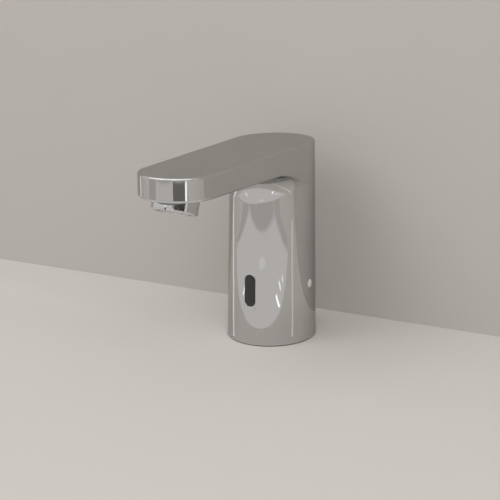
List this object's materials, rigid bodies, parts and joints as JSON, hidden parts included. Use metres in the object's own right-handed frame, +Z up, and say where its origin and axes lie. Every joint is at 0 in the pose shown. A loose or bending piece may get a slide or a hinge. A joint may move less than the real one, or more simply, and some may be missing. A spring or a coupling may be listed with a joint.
{
  "type": "sensor tap",
  "caption": "Deck-mounted infrared basin tap: chromed oval column, flat tapering spout with a tilted aerator, dark sensor window and side temperature adjuster.",
  "frame": {"origin": "on the column's axis in the plane of the deck, at the underside of the base gasket", "axes": "+Z up, -Y from the column towards the spout's tip, +X towards the side with the temperature adjuster"},
  "size_m": [0.05, 0.1478, 0.1638],
  "materials": {
    "chromed_casting": "polished chrome plate on cast brass",
    "chromed_ring": "polished chrome plate on turned brass",
    "brass": "plain machined brass",
    "steel": "plain stainless or zinc-plated steel",
    "black_rubber": "matt black rubber",
    "black_plastic": "matt black moulded plastic",
    "white_plastic": "plain white acetal",
    "pale_plastic": "pale grey glossy plug",
    "coil_resin": "moulded resin over copper winding",
    "board_green": "coated circuit board",
    "dark_window": "dark red-black infrared window"
  },
  "bodies": {
    "tap": {"aerator_housing": "chromed_ring", "aerator_insert": "white_plastic", "aerator_seal": "black_rubber", "base_gasket": "black_rubber", "base_plate": "brass", "base_screws": "steel", "cable_grommet": "black_rubber", "case_pad": "black_rubber", "coil_nut": "steel", "coil_yoke": "steel", "cold_check_body": "white_plastic", "cold_check_spring": "steel", "cold_strainer": "steel", "core_tube": "steel", "cover_screws": "steel", "fixing_stud": "steel", "flow_disc": "white_plastic", "hot_check_body": "white_plastic", "hot_check_spring": "steel", "hot_strainer": "steel", "infrared_emitter": "dark_window", "infrared_receiver": "dark_window", "lens_seal": "black_rubber", "mixer_gland": "brass", "mixer_housing": "brass", "mixer_screws": "steel", "outlet_seals": "black_rubber", "outlet_tube": "white_plastic", "plunger_spring": "steel", "sensor_board": "board_green", "sensor_case": "black_plastic", "sensor_lens": "dark_window", "solenoid_coil": "coil_resin", "tap_body": "chromed_casting", "valve_body": "black_plastic", "valve_cover": "black_plastic"},
    "side_cap": {"adjuster_cap": "pale_plastic"},
    "mixing_rotor": {"mixer_spindle": "brass", "spindle_seal": "black_rubber"},
    "armature": {"plunger": "steel"},
    "piston": {"servo_piston": "white_plastic", "piston_seal": "black_rubber", "seat_washer": "black_rubber"},
    "hot_poppet": {"hot_check_poppet": "white_plastic"},
    "cold_poppet": {"cold_check_poppet": "white_plastic"},
    "clamp": {"clamp_pad": "black_rubber", "clamp_plate": "steel"},
    "nut": {"clamp_nut": "brass"}
  },
  "joints": [
    {"name": "side_cap_pull", "type": "slide", "parent": "tap", "child": "side_cap", "axis": [1, 0, 0], "range_m": [0, 0.015]},
    {"name": "mixing_rotor_turn", "type": "hinge", "parent": "tap", "child": "mixing_rotor", "pos_m": [0, -0.001, 0.0325], "axis": [1, 0, 0], "range_deg": [-45, 45]},
    {"name": "armature_lift", "type": "slide", "parent": "tap", "child": "armature", "axis": [0, 0, 1], "range_m": [0, 0.0016], "stiffness_N_per_m": 150, "springref_m": -0.004, "deforming": ["plunger_spring"]},
    {"name": "piston_lift", "type": "slide", "parent": "tap", "child": "piston", "axis": [0, 0, 1], "range_m": [0, 0.0012]},
    {"name": "hot_poppet_lift", "type": "slide", "parent": "tap", "child": "hot_poppet", "axis": [0, 0, 1], "range_m": [0, 0.0018], "stiffness_N_per_m": 60, "springref_m": -0.002, "deforming": ["hot_check_spring"]},
    {"name": "cold_poppet_lift", "type": "slide", "parent": "tap", "child": "cold_poppet", "axis": [0, 0, 1], "range_m": [0, 0.0018], "stiffness_N_per_m": 60, "springref_m": -0.002, "deforming": ["cold_check_spring"]},
    {"name": "clamp_travel", "type": "slide", "parent": "tap", "child": "clamp", "axis": [0, 0, 1], "range_m": [-0.005, 0.01]},
    {"name": "nut_turn", "type": "hinge", "parent": "clamp", "child": "nut", "pos_m": [0, -0.013, -0.039], "axis": [0, 0, 1], "range_deg": [-1440, 2880]}
  ],
  "couplings": [
    {"joint": "piston_lift", "follows": "armature_lift", "ratio": 0.75},
    {"joint": "nut_turn", "follows": "clamp_travel", "rad_per_m": 5026.5}
  ]
}
